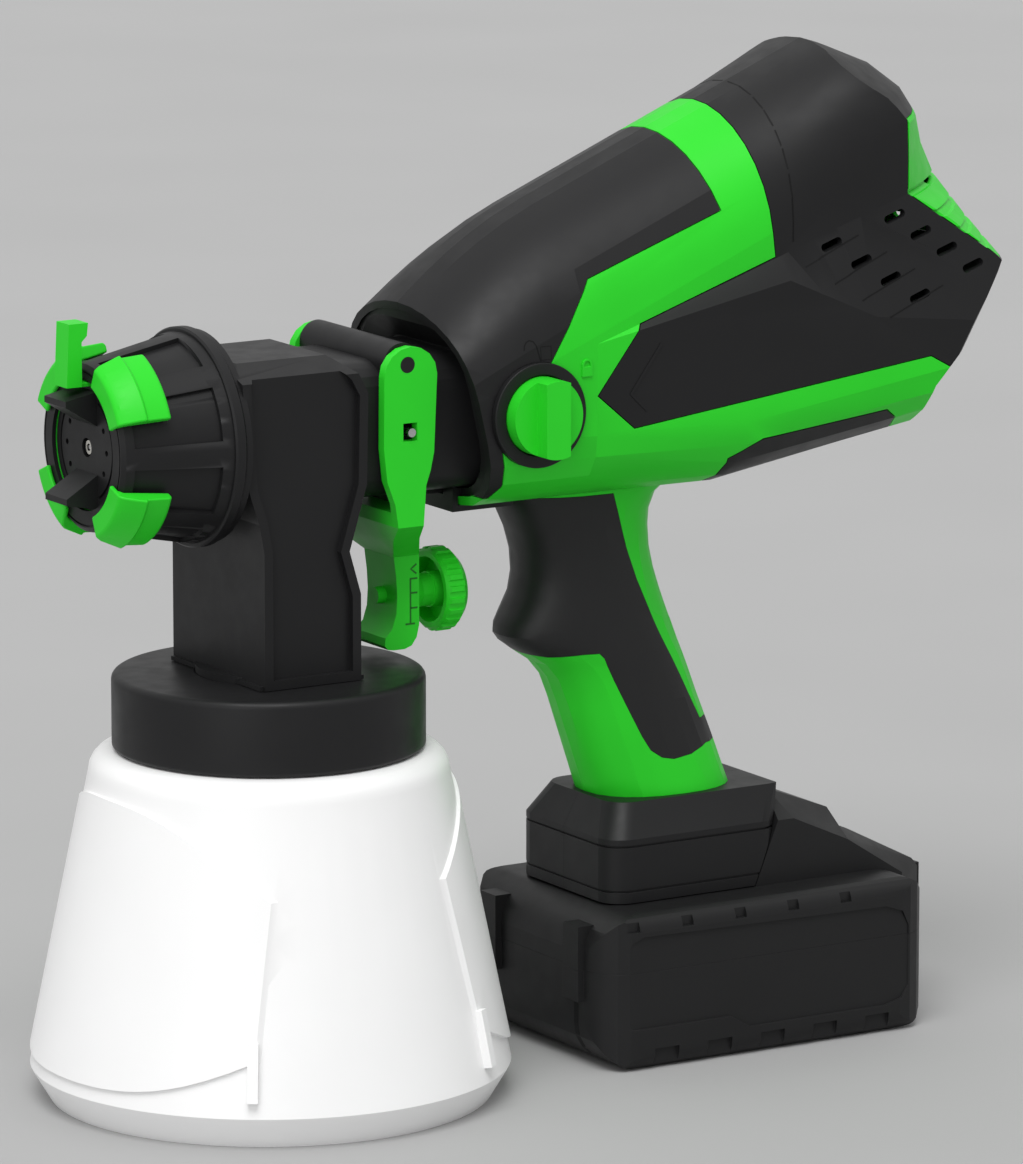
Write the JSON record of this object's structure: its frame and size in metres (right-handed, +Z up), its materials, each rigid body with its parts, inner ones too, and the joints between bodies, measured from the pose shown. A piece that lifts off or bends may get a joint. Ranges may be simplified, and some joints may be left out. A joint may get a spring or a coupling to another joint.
{
  "type": "paint sprayer",
  "caption": "Cordless turbine paint sprayer: white bottle under a nozzle head with air cap and trigger, tilted fan housing, pistol grip and slide-in battery.",
  "frame": {"origin": "on the floor, on the axis of the paint bottle", "axes": "+Z up along the bottle axis, -X the way the nozzle points, Y across the seam plane of the housing halves"},
  "size_m": [0.2935, 0.1326, 0.2801],
  "materials": {
    "green_plastic": "glossy moulded",
    "black_plastic": "satin moulded",
    "pack_plastic": "fine-grained moulded",
    "soft_grip": "soft overmould",
    "bottle_plastic": "translucent white",
    "steel": "machined",
    "brass": "turned",
    "motor_metal": "satin",
    "seal_rubber": "matte",
    "wheel_plastic": "moulded",
    "board": "circuit board",
    "cell_wrap": "shrink wrap"
  },
  "bodies": {
    "sprayer": {"cap_ring": "black_plastic", "cap_gasket": "seal_rubber", "dip_tube": "bottle_plastic", "spray_head": "black_plastic", "fluid_nozzle": "brass", "needle_packing": "brass", "needle_spring": "steel", "pivot_pin": "black_plastic", "housing_left": "green_plastic", "housing_right": "green_plastic", "nose_cover_left": "black_plastic", "nose_cover_right": "black_plastic", "rear_cover_left": "black_plastic", "rear_cover_right": "black_plastic", "rear_grille": "green_plastic", "underside_insert": "black_plastic", "mouth_collar": "black_plastic", "grip_sleeve": "soft_grip", "dial_ring": "black_plastic", "motor": "motor_metal", "motor_mount": "black_plastic", "fan_shroud": "black_plastic", "control_board": "board", "switch_body": "black_plastic", "foot_left": "pack_plastic", "foot_right": "pack_plastic", "terminal_block": "black_plastic", "housing_screws": "steel"},
    "paint_bottle": {"bottle": "bottle_plastic"},
    "trigger": {"trigger": "green_plastic"},
    "knob": {"flow_knob": "green_plastic"},
    "needle": {"needle": "steel", "cross_pin": "steel"},
    "slider": {"switch_slider": "black_plastic"},
    "nozzle": {"nozzle_nut": "black_plastic", "nut_lugs": "green_plastic", "air_cap": "black_plastic"},
    "lever": {"pattern_lever": "green_plastic"},
    "dial": {"lock_dial": "green_plastic"},
    "fan": {"impeller": "wheel_plastic"},
    "battery": {"pack_lower_case": "pack_plastic", "pack_upper_case": "pack_plastic", "battery_cells": "cell_wrap", "button_spring": "steel"},
    "button": {"release_button": "pack_plastic"}
  },
  "joints": [
    {"name": "trigger_pull", "type": "hinge", "parent": "sprayer", "child": "trigger", "pos_m": [0.029, 0, 0.2037], "axis": [0, -1, 0], "range_deg": [0, 10], "stiffness_Nm_per_rad": 1.5, "springref_deg": -20.05},
    {"name": "flow_knob_turn", "type": "hinge", "parent": "trigger", "child": "knob", "pos_m": [0.0542, 0, 0.1353], "axis": [1, 0, 0], "range_deg": [0, 360]},
    {"name": "needle_slide", "type": "slide", "parent": "sprayer", "child": "needle", "axis": [1, 0, 0], "range_m": [0, 0.00231]},
    {"name": "switch_slide", "type": "slide", "parent": "sprayer", "child": "slider", "axis": [1, 0, 0], "range_m": [0, 0.0076]},
    {"name": "nozzle_turn", "type": "hinge", "parent": "sprayer", "child": "nozzle", "pos_m": [-0.04, 0, 0.1851], "axis": [1, 0, 0], "range_deg": [0, 90]},
    {"name": "pattern_lever_turn", "type": "hinge", "parent": "nozzle", "child": "lever", "pos_m": [-0.057, 0, 0.1851], "axis": [1, 0, 0], "range_deg": [-18, 18]},
    {"name": "lock_dial_turn", "type": "hinge", "parent": "sprayer", "child": "dial", "pos_m": [0.065, -0.038, 0.188], "axis": [0, 1, 0], "range_deg": [0, 90]},
    {"name": "bottle_turn", "type": "hinge", "parent": "sprayer", "child": "paint_bottle", "pos_m": [0, 0, 0.1], "axis": [0, 0, 1], "range_deg": [0, 90]},
    {"name": "impeller_spin", "type": "hinge", "parent": "sprayer", "child": "fan", "pos_m": [0.0284, 0, 0.1851], "axis": [0.9232, 0, 0.3843], "continuous": true},
    {"name": "battery_slide", "type": "slide", "parent": "sprayer", "child": "battery", "axis": [1, 0, 0], "range_m": [0, 0.058]},
    {"name": "release_button_press", "type": "slide", "parent": "battery", "child": "button", "axis": [-1, 0, 0], "range_m": [0, 0.003], "stiffness_N_per_m": 1500, "springref_m": -0.003}
  ],
  "couplings": [
    {"joint": "needle_slide", "follows": "trigger_pull", "m_per_rad": 0.0132},
    {"joint": "switch_slide", "follows": "trigger_pull", "m_per_rad": 0.043}
  ]
}
